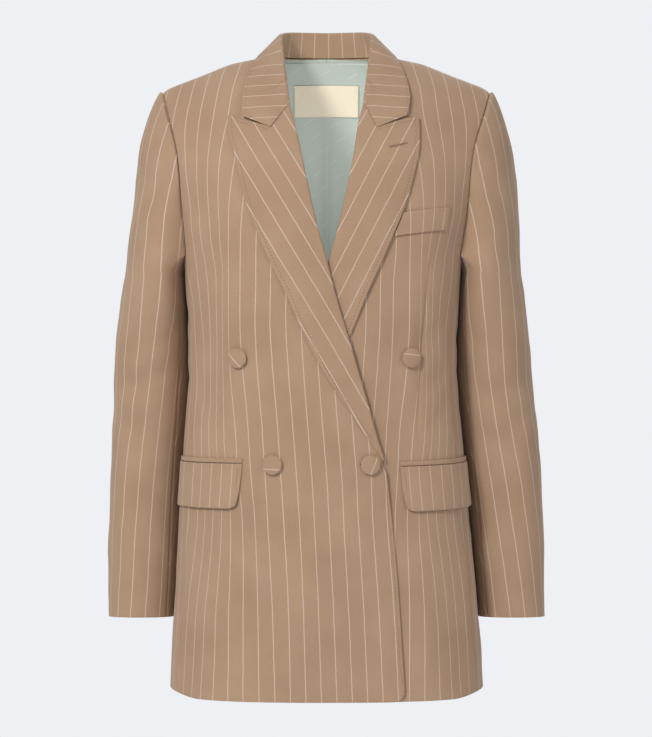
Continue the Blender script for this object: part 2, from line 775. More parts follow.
def frontPoints(side, columns):
    rows = []
    for z in evenSteps(hemZ, chestZ, fronts["rowSpace"])[:-1]:
        cut = frontCut(side, z)
        start, seam = ringAngle(cut, z), sideSeamAt(z) - 0.02
        row = []
        for u in columns:
            p = ringPoint(mix(start, seam, u), z)
            gap = max(0.0, p.x - cut)
            corner, tall = fronts["corner"], fronts["cornerHeight"]
            height = z
            if gap < corner and z < hemZ + tall:  # the rounded corner at the hem
                rise = corner - sqrt(corner**2 - (corner - gap) ** 2)
                height = z + rise * (1 - (z - hemZ) / tall)
            row.append(Vector((p.x, frontY(p.x, height), height)))
        rows.append(row)
    seam = sideSeamAt(chestZ) - 0.02
    chestStart, chestEnd = frontCut(side, chestZ), ringPoint(seam, chestZ).x
    a0 = ringAngle(chestStart, chestZ)
    shares = [(ringPoint(mix(a0, seam, u), chestZ).x - chestStart) / (chestEnd - chestStart) for u in columns]
    gorgeShare = (gorgeZ - chestZ) / -chestZ
    for v in evenSteps(0, 1, fronts["rowSpace"] / 220):
        innerZ = mix(chestZ, 0, v)
        innerX = frontCut(side, innerZ) if v <= gorgeShare else neckEdgeCurve(innerZ)
        outerZ = mix(chestZ, -43, v)
        outerX = chestEnd if v == 0 else armholeCurve(outerZ)
        row = []
        for u, chestShare in zip(columns, shares):
            share = mix(chestShare, u, ease(0, 1, v))
            x = mix(innerX, outerX, share)
            top = shoulderZ(x)
            z = mix(innerZ, outerZ, share) if v < 1 else top
            z = mix(z, top - (1 - v) * (top - chestZ), ease(0.55, 1, v))
            row.append(Vector((x, frontY(x, z), z)))
        rows.append(row)
    return rows


def makeFront(side):
    columns = spread(fronts["width"], fronts["columnSpace"])
    folds = fronts["folds" + side.capitalize()]
    dartTop, dartFoot = fronts["dart"]
    seed, sharp = fronts["seed"][side], fronts["dartDepth"][side]

    def lift(i, j, p):
        edge, seam = columns[i] * fronts["width"], (1 - columns[i]) * fronts["width"]
        depth = frontDepth(side, p.x, p.z) + foldDepth(folds, p.x, p.z) * ease(0, 24, seam)
        rest = ease(0, -70, p.z)  # the yoke lies smooth by the shoulder seam
        depth += (softNoise(p, 46, 0.9, seed) + softNoise(p, 17, 0.28, seed + 5)) * rest * ease(0, 26, seam)
        if dartFoot < p.z < dartTop:
            along = (p.z - dartFoot) / (dartTop - dartFoot)
            dartX = trackCurves[7](p.z) if side == "right" else mix(110, 125, along)
            off = p.x - dartX
            groove = sharp * exp(-((off / 1.5) ** 2)) + 0.9 * exp(-((off / 9) ** 2))
            depth -= groove * sin(pi * along) ** 0.3
        if p.z > chestZ:
            depth += 1.4 * exp(-((p.z + 150) / 60) ** 2) * exp(-((p.x - 120) / 40) ** 2)
        depth += seamDip(seam, 0.7) + seamDip(abs(p.y), 0.5)
        if side == "right" and p.z < breakZ:
            depth += turnedEdge(edge)
        return depth

    base = frontPoints(side, columns)
    points = lifted(base, (0, -1, 0), lift)
    across = [[stripeAt(side, p.x, p.z) * pitch for p in row] for row in base]
    along = [[p.z for p in row] for row in base]
    piece = layCloth("frontPanel." + side, points, (across, along), (0, -1, 0), fronts["wall"],
                     [clothFinish, liningFinish], mirrored=side == "right")
    sew(piece, "front_" + side)
    return points


frontGrids = {side: makeFront(side) for side in ("right", "left")}
print("fronts are cut and pressed")

# ---- sides and back

sides = {
    "columnSpace": 3.2, "rowSpace": 3.6, "width": 128, "wall": 1.8, "underarmDrop": 16, "stripeStart": 6.0,
    "seed": {"right": 12.5, "left": 17.2},
    "folds": [
        ((10, -330), (90, -350), 10, -1.6), ((20, -372), (110, -392), 9, -1.2),
        ((60, -300), (118, -322), 12, -1.3), ((40, -470), (52, -700), 18, -1.6),
        ((85, -520), (92, -740), 16, 1.3), ((14, -410), (70, -428), 9, -1.1),
    ],
}


def sideTop(angle):
    start = sideSeamAt(chestZ)
    return chestZ - sides["underarmDrop"] * sin(pi * (angle - start) / (backSeam - start))


def makeSide(side):
    width = sides["width"]
    columns = spread(width, sides["columnSpace"])
    base = []
    for v in evenSteps(0, 1, sides["rowSpace"] / (chestZ - hemZ)):
        row = []
        for u in columns:
            z = mix(hemZ, sideTop(mix(sideSeamAt(chestZ), backSeam, u)), v)
            row.append(ringPoint(mix(sideSeamAt(z) + 0.02, backSeam - 0.05, u), z))
        base.append(row)

    def lift(i, j, p):
        run = columns[i] * width
        depth = foldDepth(sides["folds"], run if side == "left" else width - run, p.z)
        depth = (depth + softNoise(p, 40, 0.8, sides["seed"][side])) * ease(0, 22, min(run, width - run))
        return depth + seamDip(run, 0.7) + seamDip(width - run, 0.7)

    points = lifted(base, (1, 0, 0), lift)
    across = [[arc + sides["stripeStart"] for arc in row] for row in arcsAcross(base, 0)]
    along = [[p.z for p in row] for row in base]
    # the seam allowance stands up inside the sleeve and leans out
    for step in (1.5, 4, 8):
        lean = [0.25 * step * ease(0, 0.04, u) * ease(1, 0.96, u) for u in columns]
        points.append([p + Vector((out, 0, step)) for p, out in zip(points[len(base) - 1], lean)])
        across.append(across[-1])
        along.append([t + step for t in along[len(base) - 1]])
    piece = layCloth("sidePanel." + side, points, (across, along), (1, 0, 0), sides["wall"],
                     [clothFinish, liningFinish], mirrored=side == "right")
    sew(piece, "side_" + side)


backs = {
    "columnSpace": 2.8, "rowSpace": 3.6, "width": 200, "wall": 1.8, "neckShare": 0.36, "chestHeight": 0.62,
    "yokeLength": 300, "seed": {"right": 21.3, "left": 27.9},
    "foldsRight": [
        ((150, -190), (70, -262), 15, -1.8), ((140, -330), (60, -352), 11, -1.7),
        ((150, -372), (74, -402), 10, -1.4), ((120, -300), (40, -322), 13, -1.1),
        ((40, -420), (46, -640), 24, 1.4), ((96, -500), (104, -768), 22, -2.2),
        ((150, -540), (156, -768), 18, 1.8), ((20, -28), (64, -60), 12, -0.9),
    ],
    "foldsLeft": [
        ((152, -205), (84, -290), 14, -1.6), ((146, -342), (66, -372), 12, -1.5),
        ((130, -392), (56, -410), 9, -1.2), ((46, -430), (58, -768), 24, -1.8),
        ((118, -520), (126, -768), 20, 2.0), ((18, -30), (58, -66), 13, -1.0),
        ((150, -420), (100, -446), 10, -1.1),
    ],
}
neckShare, chestHeight = backs["neckShare"], backs["chestHeight"]


def backTop(across):
    if across <= neckShare:
        turn = across / neckShare * (pi / 2)
        rise = (sizes["backNeckRise"] - 0.7) * max(0.0, cos(turn)) ** 0.8
        return Vector((neckPointX * sin(turn), sizes["backNeckDepth"] * cos(turn), rise))
    x = mix(neckPointX, shoulderTipX, (across - neckShare) / (1 - neckShare))
    return Vector((x, 0, shoulderZ(x)))


def backPoint(across, height):
    angle = mix(180, backSeam, across)
    if height <= chestHeight:
        return ringPoint(angle, mix(hemZ, chestZ, height / chestHeight))
    drop = (1 - height) / (1 - chestHeight)
    top, chest = backTop(clamp01(across)), ringPoint(angle, chestZ)
    neckward = ease(neckShare + 0.04, 0, across)
    power = mix(0.38, 0.56, ease(neckShare, 0.8, across)) - 0.06 * ease(0.8, 1, across)
    out = mix(fullness(drop, power), 1 - (1 - drop) ** 1.8, neckward)
    blade = 17 * sin(pi * drop) * across * across
    x = mix(top.x, chest.x, mix(drop, ease(0, 1, drop), 0.5))
    return Vector((x, mix(top.y, chest.y, out) + blade, mix(top.z, chestZ, drop)))


def backHeights():
    # shares of the height, even up to the chest and closer together towards the shoulder
    space = backs["rowSpace"]
    low = evenSteps(0, chestHeight, space / (chestZ - hemZ) * chestHeight)[:-1]
    high = [mix(chestHeight, 1.0, 1 - (1 - t) ** 1.5) for t in evenSteps(0, 1, space / backs["yokeLength"])]
    return low, high


def makeBack(side):
    width = backs["width"]
    columns = spread(width, backs["columnSpace"])
    low, high = backHeights()
    base = [[backPoint(u, v) for u in columns] for v in low + high]
    folds, seed = backs["folds" + side.capitalize()], backs["seed"][side]

    def lift(i, j, p):
        run = columns[i] * width
        seam = min(run, width - run)
        rest = ease(10, -60, p.z)
        depth = foldDepth(folds, p.x, p.z) * rest * ease(0, 24, seam)
        depth += (softNoise(p, 52, 1.0, seed) + softNoise(p, 19, 0.25, seed + 3)) * rest * ease(0, 26, seam)
        shoulder = p.y if p.z > -60 and p.x > neckPointX else 50
        return depth + seamDip(run, 0.7) + seamDip(width - run, 0.7) + seamDip(shoulder, 0.5)

    points = lifted(base, (0, 1, 0), lift)
    arcs = arcsAcross(base, 0)
    chestRow = len(low)
    across = []
    for j, row in enumerate(base):
        # above the chest the stripes straighten towards the shoulder
        arc, level = arcs[min(j, chestRow)], ease(chestRow, chestRow + 40, j)
        across.append([mix(arc[i], p.x * arc[-1] / arcs[chestRow][-1] * 1.12, level) + pitch / 2
                       for i, p in enumerate(row)])
    along = [[p.z for p in row] for row in base]
    piece = layCloth("backPanel." + side, points, (across, along), (0, 1, 0), backs["wall"],
                     [clothFinish, liningFinish], mirrored=side == "right")
    sew(piece, "back_" + side)


for side in ("right", "left"):
    makeSide(side)
    makeBack(side)
print("sides and back are sewn in")

# ---- lining and label inside the back

innerLayers = {
    "columnSpace": 4.0, "rowSpace": 5.0, "lining": 1.0, "liningLift": -2.4, "labelWall": 0.6,
    "labelWidth": 79, "labelHeight": 43, "labelTop": 0.953, "labelFoot": 0.894, "labelLift": -5.45,
    "halfWidth": 205, "height": 760,
}


def backNormal(across, height):
    span = 0.004
    sideward = backPoint(min(1, across + span), height) - backPoint(max(0, across - span), height)
    upward = backPoint(across, min(1, height + span)) - backPoint(across, max(0, height - span))
    normal = upward.cross(sideward).normalized()
    if across <= 0:
        normal.x = 0
        normal.normalize()
    return normal


def onBack(across, height, lift):
    return backPoint(across, height) + backNormal(across, height) * lift


def acrossAt(x, height):
    low, high = 0.0, 1.0
    for _ in range(20):
        middle = (low + high) / 2
        if backPoint(middle, height).x < x:
            low = middle
        else:
            high = middle
    return (low + high) / 2


def makeLining():
    half = [0, 0.006, 0.012, 0.018, 0.026, 0.036, 0.05] + evenSteps(0.065, 0.92, 0.019)
    columns = [-u for u in reversed(half[1:])] + half
    points, across, along = [], [], []
    for v in evenSteps(0.08, 0.9, 0.0075) + evenSteps(0.9, 0.994, 0.004)[1:]:
        row = []
        for u in columns:
            pleat = 1.6 * (1 - clamp01(abs(u) / 0.05)) ** 2 * ease(0.98, 0.8, v)
            ripple = 0.5 * sin(u * 46 + 3 * v) * ease(0.9, 0.6, v) * ease(0.0, 0.3, abs(u))
            p = onBack(abs(u), v, innerLayers["liningLift"] - pleat)
            p.x = 0 if u == 0 else p.x * (-1 if u < 0 else 1)
            row.append(p + Vector((0, -abs(ripple), 0)))
        points.append(row)
        across.append([u * innerLayers["halfWidth"] for u in columns])
        along.append([v * innerLayers["height"]] * len(columns))
    piece = layCloth("backLining", points, (across, along), (0, 1, 0), innerLayers["lining"], [liningFinish],
                     edge=0)
    sew(piece, "lining_back")


def makeLabel():
    wide, tall = innerLayers["labelWidth"], innerLayers["labelHeight"]
    foot, top = innerLayers["labelFoot"], innerLayers["labelTop"]
    tight = (0, 0.6, 1.2, 2.2)
    columns = [mix(-wide / 2, wide / 2, u) for u in spread(wide, 2.5, tight)]
    heights = [mix(foot, top, v) for v in spread(tall, 2.5, tight)]
    points = []
    for v in heights:
        row = [onBack(acrossAt(abs(x), v), v, innerLayers["labelLift"]) for x in columns]
        points.append([Vector((x, p.y, p.z)) for x, p in zip(columns, row)])
    along = [[p.z for p in row] for row in points]

    def lift(i, j, p):
        # puckered a little by the stitching along its edge
        height = (heights[j] - foot) / (top - foot)
        edge = min(wide / 2 - abs(columns[i]), tall * min(1 - height, height))
        return 0.25 * sin(columns[i] * 0.9) * exp(-((edge / 3) ** 2)) + 0.3 * ease(0, 6, edge)

    points = lifted(points, (0, -1, 0), lift)
    piece = layCloth("bareLabel", points, ([columns] * len(heights), along), (0, -1, 0),
                     innerLayers["labelWall"], [labelFinish], edge=0.2)
    sew(piece, "neck_label")
    wideways, upways = list(range(1, len(columns) - 1)), list(range(1, len(heights) - 1))
    rim = [(1, i) for i in wideways] + [(j, -2) for j in upways]
    rim += [(-2, i) for i in reversed(wideways)] + [(j, 1) for j in reversed(upways)]
    stitching = Stitches()
    stitching.along([(points[j][i], Vector((0, -1, 0))) for j, i in rim], 2.6, 1.8, 0.4, 0.05)
    stitching.finish("labelStitching", threadFinish("labelThread", "label"))


makeLining()
makeLabel()
print("lining and label are in")

# ---- lapels

lapels = {
    "wall": 1.9, "columnSpace": 2.4, "rowSpace": 3.0, "foot": -478, "width": 98, "length": 415,
    # the direction across the stripes, where they start and their spacing
    "stripesRight": (0.861, 0.508, 81.2, 18.0), "stripesLeft": (0.887, 0.462, 76.3, 17.7),
    "seed": {"right": 33.0, "left": 38.0},
    "rollAngles": (228, 210, 192, 175, 158, 141, 124, 107),
}


def lapelSpace(z):
    return mix(0.5, 1.0, ease(-300, -235, z))


def rollRadius(space):
    return 1.3 + 0.3 * ease(0.5, 1.0, space)


def gorgeShares(side):
    # how far along the gorge the notch and the collar's tip lie
    fold, notch, tip, peak = (gorges[side][k][0] for k in ("fold", "notch", "tip", "peak"))
    return (notch - fold) / (peak - fold), (tip - fold) / (peak - fold)


def lapelDip(side, u):
    gorge = gorges[side]
    fold, peak = gorge["fold"][1], gorge["peak"][1]
    notchShare, tipShare = gorgeShares(side)
    notchDip = gorge["notch"][1] + 0.9 - mix(fold, peak, notchShare)
    tipDip = gorge["tip"][1] - 0.9 - mix(fold, peak, tipShare)
    if u <= notchShare:
        return mix(0, notchDip, u / notchShare)
    if u <= tipShare:
        return mix(notchDip, tipDip, (u - notchShare) / (tipShare - notchShare))
    return mix(tipDip, 0, (u - tipShare) / (1 - tipShare))


def lapelPlace(side, u, v):
    gorge = gorges[side]
    rollZ = mix(gorge["fold"][1] + 0.6, breakZ, v)
    outerZ = mix(gorge["peak"][1], lapels["foot"], v)
    outerX = lapelEdgeCurve(outerZ) + gorge["spread"] * ease(-100, -130, outerZ)
    peakX, peakZ = gorge["peak"]
    outerX = peakX if v == 0 else mix(outerX, peakX, ease(-125, peakZ, outerZ))
    x = mix(edgeX(side, rollZ), outerX, u)
    z = mix(rollZ, outerZ, u)
    return x, z + lapelDip(side, u) * (1 - ease(0, 0.4, v))


def lapelPoint(side, u, v):
    rollZ = lapelPlace(side, 0, v)[1]
    radius = rollRadius(lapelSpace(rollZ))
    x, z = lapelPlace(side, u, v)
    x += (lapels["wall"] / 2 + radius) * (1 - u)
    belly = 2.2 * sin(pi * u) * sin(pi * clamp01(v / 0.8)) * ease(-330, -230, z)
    belly += (1.7 if side == "left" else 0.5) * ease(0.5, 1, u) * ease(-460, -360, z)
    return onFront(x, z, frontDepth(side, x, z) + lapelSpace(z) + lapels["wall"] / 2 + belly)


def makeLapel(side):
    wide = lapels["width"]
    notchShare, tipShare = gorgeShares(side)
    cuts = [0, notchShare, tipShare, 1]
    columns = [0.0]
    for a, b in zip(cuts, cuts[1:]):
        columns += evenSteps(a, b, lapels["columnSpace"] / wide)[1:]
    columns = columns[:-1] + [1 - 2.0 / wide, 1 - 0.9 / wide, 1.0]
    rowSteps = [0, 0.002, 0.0048, 0.008, 0.012]
    rowSteps += evenSteps(0.018, 0.97, lapels["rowSpace"] / lapels["length"]) + [0.978, 0.986, 0.993, 1]
    a, b, start, step = lapels["stripes" + side.capitalize()]
    seed = lapels["seed"][side]
    points, across, along = [], [], []
    for v in rowSteps:
        rollX, rollZ = lapelPlace(side, 0, v)
        space = lapelSpace(rollZ)
        radius = rollRadius(space)
        level = space + lapels["wall"] / 2 - radius
        centreX = rollX + lapels["wall"] / 2 + radius
        row, s, t = [], [], []
        for angle in lapels["rollAngles"]:
            x = centreX + radius * cos(radians(angle))
            row.append(onFront(x, rollZ, frontDepth(side, x, rollZ) + level + radius * sin(radians(angle))))
            s.append(a * (centreX - radius * radians(angle - 90)) - b * rollZ)
            t.append(-b * centreX - a * rollZ)
        width = (lapelPoint(side, 1, v) - lapelPoint(side, 0, v)).length
        for u in columns:
            p = lapelPoint(side, u, v)
            outer = (1 - u) * width
            top = lapelPoint(side, u, 0).z - p.z
            free = min(outer, top) if u > notchShare else outer
            depth = 0.5 * turnedEdge(free)
            depth += softNoise(p, 44, 0.5, seed) * ease(0, 18, free) * ease(0, 14, u * width)
            if u <= notchShare:
                depth += seamDip(top, 0.4)
            row.append(p + frontNormal(p.x, p.z) * depth)
            s.append(a * p.x - b * p.z)
            t.append(-b * p.x - a * p.z)
        points.append(row)
        across.append([(value - start) / step * pitch for value in s])
        along.append(t)
    piece = layCloth("lapel." + side, points, (across, along), (0, -1, 0), lapels["wall"], [clothFinish],
                     mirrored=side == "right", edge=0.6, middle=True)
    sew(piece, "lapel_" + side)


def edgePath(side, inset, shares, lift):
    # places a set distance in from a lapel's free edge, from its foot up and round the peak to the notch
    path = []
    for v in shares:
        width = (lapelPoint(side, 1, v) - lapelPoint(side, 0, v)).length
        if width < inset * 2:
            continue
        p = lapelPoint(side, 1 - inset / width, v)
        path.append((p + frontNormal(p.x, p.z) * lift, frontNormal(p.x, p.z)))
    for u in evenSteps(1 - inset / lapels["width"], gorgeShares(side)[0] + 0.05, 0.02):
        p = lapelPoint(side, u, inset / 400)
        path.append((p + frontNormal(p.x, p.z) * lift, frontNormal(p.x, p.z)))
    return path


for side in ("right", "left"):
    makeLapel(side)
print("lapels are rolled")

# ---- collar

collarShape = {
    "wall": 2.0, "foldRadius": 1.8, "step": 0.075, "restingLift": 2.0, "lifts": (1.1, -0.8, 2.0),
    "seed": {"left": 41.0, "right": 47.0}, "offCentre": {"left": 3.0, "right": -3.0}, "fallPitch": 13.5,
    "stations": [  # fold, foot of the stand, outer edge, from the centre back to the gorge
        ((0, 60, 36), (0, 61, 6), (0, 71, -9)), ((26, 56.5, 36), (30, 56, 5.8), (33, 69.5, -9)),
        ((44, 44, 34.5), (53.5, 42.2, 4.8), (60, 57, -5.5)), ((53, 24, 30), (69.5, 21, 3), (76.5, 27, 0.6)),
        ((54, 2, 24), (73, 0, 1.2), (80.5, -3, 1.2)), ((52, -22, 3), (66, None, -9), (87.5, None, -17)),
        ((49, -46, -21), (57.5, None, -27), (93.5, None, -38)),
        ((46, -68, -44), (51, None, -46), (96.5, None, -60)),
        ((43.1, None, -69), (46.6, None, -69.5), (98, None, -78.2)),
    ],
    "stripeHeights": [-3, -17.3, -30.3, -43, -56, -70],
}
collarEnd = len(collarShape["stations"]) - 1


def routeThrough(places):
    # a smooth route through places, read by the number of the place

    def at(s):
        k = min(len(places) - 2, max(0, int(s)))
        t = s - k
        b, c = places[k], places[k + 1]
        a = places[k - 1] if k > 0 else b * 2 - c
        d = places[k + 2] if k + 2 < len(places) else c * 2 - b
        ab, bc, cd = (max(1e-4, (q - p).length) ** 0.5 for p, q in ((a, b), (b, c), (c, d)))
        leave = ((b - a) / ab - (c - a) / (ab + bc) + (c - b) / bc) * bc
        arrive = ((c - b) / bc - (d - b) / (bc + cd) + (d - c) / cd) * bc
        return (b * (2 * t**3 - 3 * t**2 + 1) + leave * (t**3 - 2 * t**2 + t)
                + c * (3 * t**2 - 2 * t**3) + arrive * (t**3 - t**2))
    return at


def yokeZ(x, y):
    out = min(0.98, abs(y) / 128)
    drop = 1 - sqrt(1 - out ** (1 / yokePower(x)))
    top = shoulderZ(x)
    return top - drop * (top - chestZ)


def keepOff(point, space):
    # moves a place out of the yoke until it is this far from it
    if point.y > -0.5:
        return point
    step = 0.5
    for _ in range(4):
        slopeX = (yokeZ(point.x + step, point.y) - yokeZ(point.x - step, point.y)) / (2 * step)
        slopeY = (yokeZ(point.x, point.y + step) - yokeZ(point.x, point.y - step)) / (2 * step)
        normal = Vector((-slopeX, -slopeY, 1))
        distance = (point.z - yokeZ(point.x, point.y)) / normal.length
        if distance >= space:
            break
        point = point + normal.normalized() * (space - distance)
    return point


def collarRoutes(side):
    lifts, tip = collarShape["lifts"], gorges[side]["tip"]
    routes = []
    for part in range(3):
        places = []
        for station in collarShape["stations"]:
            x, y, z = station[part]
            places.append(onFront(x, z, lifts[part]) if y is None else Vector((x, y, z)))
        if part == 2:
            places[-1] = onFront(tip[0], tip[1] + 1.3, lifts[2])
        before = [Vector((-p.x, p.y, p.z)) for p in (places[2], places[1])]
        routes.append(routeThrough(before + places))
    return routes


def notchAlong(side):
    fold, notch, tip = (gorges[side][k][0] for k in ("fold", "notch", "tip"))
    return (notch - fold) / (tip - fold)


def collarSection(side, station, routes, standShares, turns, fallShares):
    gorge = gorges[side]
    fold, stand, edge = (route(station + 2) for route in routes)
    ahead, behind = min(collarEnd, station + 0.1), max(-1, station - 0.1)
    tangent = (routes[0](ahead + 2) - routes[0](behind + 2)).normalized()
    into = ((stand - fold).normalized() + (edge - fold).normalized()).normalized()
    outward = tangent.cross(into).normalized()
    if outward.dot(edge - stand) < 0:
        outward = -outward
    radius = collarShape["foldRadius"]

    def curl(angle):
        return fold + into * radius * (1 - sin(radians(angle))) + outward * radius * cos(radians(angle))

    places = [stand.lerp(curl(180), t) for t in standShares] + [curl(angle) for angle in turns]
    fallTop = curl(0)
    notchAt = notchAlong(side)
    dip = gorge["notch"][1] - mix(gorge["fold"][1], gorge["tip"][1], notchAt)
    belly = (0.7 + 2.8 * ease(3.2, 1.6, station)) * (1 - ease(5, collarEnd, station))
    for t in fallShares:
        p = fallTop.lerp(edge, t) + outward * belly * sin(pi * t)
        share = t / notchAt if t < notchAt else (1 - t) / (1 - notchAt)
        if station > 4:
            z = p.z + dip * share * ease(5.6, collarEnd, station)
            resting = onFront(p.x, z, collarShape["restingLift"])
            p = Vector((p.x, min(p.y, mix(p.y, resting.y, ease(4, 6.5, station))), z))
        places.append(keepOff(p, mix(1.5, 1.9, ease(4, collarEnd, station))))
    return places


def stripesRound(middles, offCentre):
    # the stripe number at each station, from the centre back to the gorge, and at each height in front
    arcs, known = [0.0], []
    for a, b in zip(middles, middles[1:]):
        arcs.append(arcs[-1] + (b - a).length)
    for height in collarShape["stripeHeights"]:
        k = next(n for n in range(len(middles) - 1)
                 if middles[n].z >= height > middles[n + 1].z and arcs[n] > 40)
        t = (middles[k].z - height) / (middles[k].z - middles[k + 1].z)
        known.append(mix(arcs[k], arcs[k + 1], t))
    first = round((known[0] - offCentre) / 18.8)
    pairs = [(0.0, -offCentre / 19.0)] + [(arc, float(first + n)) for n, arc in enumerate(known)]
    pairs.append((known[-1] + 40, pairs[-1][1] + 40 / pitch))
    numbers = []
    for arc in arcs:
        k = next((n for n in range(len(pairs) - 2) if arc < pairs[n + 1][0]), len(pairs) - 2)
        (a, na), (b, nb) = pairs[k], pairs[k + 1]
        numbers.append(mix(na, nb, (arc - a) / (b - a)))
    heights = [40.0] + collarShape["stripeHeights"] + [-110.0]
    over = 40 / collarShape["fallPitch"]
    steps = [first - over + 0.2] + [float(first + n) for n in range(len(known))]
    steps.append(first + len(known) - 1 + over)

    def atHeight(z):
        k = next((n for n in range(len(heights) - 2) if z > heights[n + 1]), len(heights) - 2)
        return mix(steps[k], steps[k + 1], (heights[k] - z) / (heights[k] - heights[k + 1]))
    return numbers, atHeight


def makeCollar():
    standShares = [0, 0.04] + evenSteps(0.1, 0.96, 0.08)
    turns = (180, 165, 150, 135, 120, 105, 90, 75, 60, 45, 30, 15)
    stations = evenSteps(0, 7.7, collarShape["step"]) + [7.8, 7.88, 7.94, 7.975, collarEnd]
    halves, paths = {}, {}
    for side in ("left", "right"):
        routes = collarRoutes(side)
        notchAt, seed = notchAlong(side), collarShape["seed"][side]
        fallShares = [mix(0, notchAt, k / 8) for k in range(9)]
        fallShares += [mix(notchAt, 0.94, k / 12) for k in range(1, 13)] + [0.965, 0.985, 1]
        sections = [collarSection(side, s, routes, standShares, turns, fallShares) for s in stations]
        middle = len(standShares) + len(turns) + len(fallShares) // 2
        middles = [section[middle] for section in sections]
        numbers, atHeight = stripesRound(middles, collarShape["offCentre"][side])
        normals = normalsOf(sections, (0, 0, 1))
        start = len(standShares) + len(turns)
        # the stripe number at each distance from the centre, half way up the stand
        halfway = curveThrough([(sections[j][5].x, numbers[j])
                                for j in range(0, len(stations), 4) if stations[j] < 3.2])
        finished, arcs, lie = [], [], []
        for j, section in enumerate(sections):
            level = ease(4.0, 6.2, stations[j])
            upright = 1 - ease(1.7, 2.9, stations[j])
            lie.append([])
            for i, p in enumerate(section):
                if i >= start:
                    number, share = atHeight(p.z + 0.05 * (p.x - middles[j].x)), level
                else:
                    number, share = halfway(p.x * mix(0.97, 1.03, ease(4, 36, p.z))), upright
                lie[j].append(mix(numbers[j], number, share))
            fallen = (section[-1] - section[start]).length
            row, run = [], [0.0]
            for i, p in enumerate(section):
                depth = 0.0
                if i >= start:
                    t = fallShares[i - start]
                    end = (sections[-1][i] - p).length if stations[j] > 7 and t > notchAt else 99
                    free = min((1 - t) * fallen, end)
                    depth = 0.5 * turnedEdge(free)
                    depth += softNoise(p, 36, 0.5, seed) * ease(0, 16, free) * ease(0, 0.3, t)
                    if stations[j] > 7 and t <= notchAt:
                        depth += seamDip((sections[-1][i] - p).length, 0.35)
                row.append(p + normals[j][i] * depth)
                if i:
                    run.append(run[-1] + (section[i] - section[i - 1]).length)
            finished.append(row)
            arcs.append(run)
        halves[side] = (finished, lie, arcs)
        inset = min(range(len(fallShares)), key=lambda n: abs(fallShares[n] - 0.925)) + start
        paths[side] = [(row[inset], normals[j][inset])
                       for j, row in enumerate(finished) if 0.4 < stations[j] < 7.93]
        last = len(stations) - 4
        paths[side] += [(finished[last][i], normals[last][i]) for i in range(inset - 1, start + 9, -1)]
    points, across, along = [], [], []
    for row, numbers, run in reversed(list(zip(*halves["right"]))[1:]):
        points.append([Vector((-p.x, p.y, p.z)) for p in row])
        across.append([-number * pitch for number in numbers])
        along.append(run)
    for row, numbers, run in zip(*halves["left"]):
        points.append(row)
        across.append([number * pitch for number in numbers])
        along.append(run)
    piece = layCloth("collar.whole", points, (across, along), (0, 0, 1), collarShape["wall"], [clothFinish],
                     edge=0.6, middle=True)
    sew(piece, "collar")
    return paths


collarPaths = makeCollar()
print("collar is folded")

# ---- sleeves

sleeves = {  # folds: distance round the sleeve from its front line, and height
    "columnSpace": 2.7, "rowSpace": 3.4, "wall": 1.8, "frontSeam": -140, "backSeam": 122, "capShare": 0.66,
    "clearance": 1.1, "roundness": 2.15, "perimeter": 335,
    "sections": [
        (-672, 262, 12, 44), (-656, 261.7, 13, 44.6), (-585, 261, 16, 48), (-541, 259.8, 18, 50),
        (-498, 258, 19, 52.5), (-455, 255, 19, 55.5), (-412, 252, 18, 58.5), (-368, 249, 16, 61),
        (-325, 245.5, 13, 63.5), (-282, 241, 10, 65.5), (-262, 238.8, 8, 66),
    ],
    "bends": [
        (-70, -395, 55, 16, 2.2, 0.3), (-60, -440, 50, 14, 1.8, 0.35), (-35, -150, 40, 16, 1.6, 0.5),
        (120, -410, 50, 15, 2, -0.3),
    ],
    "outRight": [
        (-672, 0.5), (-635, 2), (-560, 0), (-500, -1.2), (-450, 0), (-394, 1.5), (-364, 2.6), (-334, 3.4),
        (-304, 1.2), (-270, -0.5), (-231, -2.4), (-171, -3.2), (-140, 0), (-120, 1.2), (-95, 0.8), (-60, 0),
    ],
    "outLeft": [
        (-672, 0.5), (-600, 2.4), (-540, 3.6), (-460, 4.4), (-424, 3.8), (-394, 2.6), (-364, 2.4),
        (-334, 2.6), (-304, 3.2), (-270, 0.5), (-231, -1.6), (-200, -0.6), (-171, 1.0), (-140, 2.2),
        (-110, 1.8), (-60, 0),
    ],
    "turnRight": [(-672, 11), (-532, 5.8), (-395, -0.9), (-322, -7), (-261, -11), (-188, -10.5)],
    "turnLeft": [(-672, 13.7), (-532, 3), (-395, -8), (-321, -10.5), (-247, -16), (-172, -24)],
    "foldsRight": [
        ((-10, -138), (14, -190), 12, -3.0), ((-40, -205), (30, -238), 13, -1.6),
        ((-50, -330), (20, -352), 14, -1.8), ((-34, -372), (46, -404), 12, -2.3),
        ((-30, -428), (38, -452), 11, -1.7), ((-20, -500), (22, -560), 16, -1.4),
        ((60, -300), (96, -372), 18, -1.4), ((80, -400), (150, -424), 12, -1.9),
        ((90, -440), (160, -456), 10, -1.4), ((40, -560), (52, -690), 20, -1.2),
        ((110, -240), (150, -330), 20, -1.8), ((20, -90), (34, -170), 14, -1.0),
    ],
    "foldsLeft": [
        ((-34, -212), (30, -248), 14, -2.8), ((-16, -120), (16, -170), 13, -2.2),
        ((-44, -330), (18, -356), 13, -1.7), ((-26, -392), (34, -442), 13, -2.8),
        ((-34, -446), (26, -476), 10, -1.6), ((-10, -520), (26, -590), 15, -1.6),
        ((60, -285), (100, -350), 18, -1.5), ((84, -392), (150, -414), 12, -1.8),
        ((92, -436), (162, -448), 10, -1.5), ((36, -570), (46, -690), 20, -1.3),
        ((104, -230), (146, -320), 20, -1.7), ((24, -86), (40, -150), 14, -0.9),
    ],
}
sleeveCurves = curvesFrom(sleeves["sections"], "outer", "middleY", "halfDepth")
capHalfWidth, capMiddleY = 35.4, 8
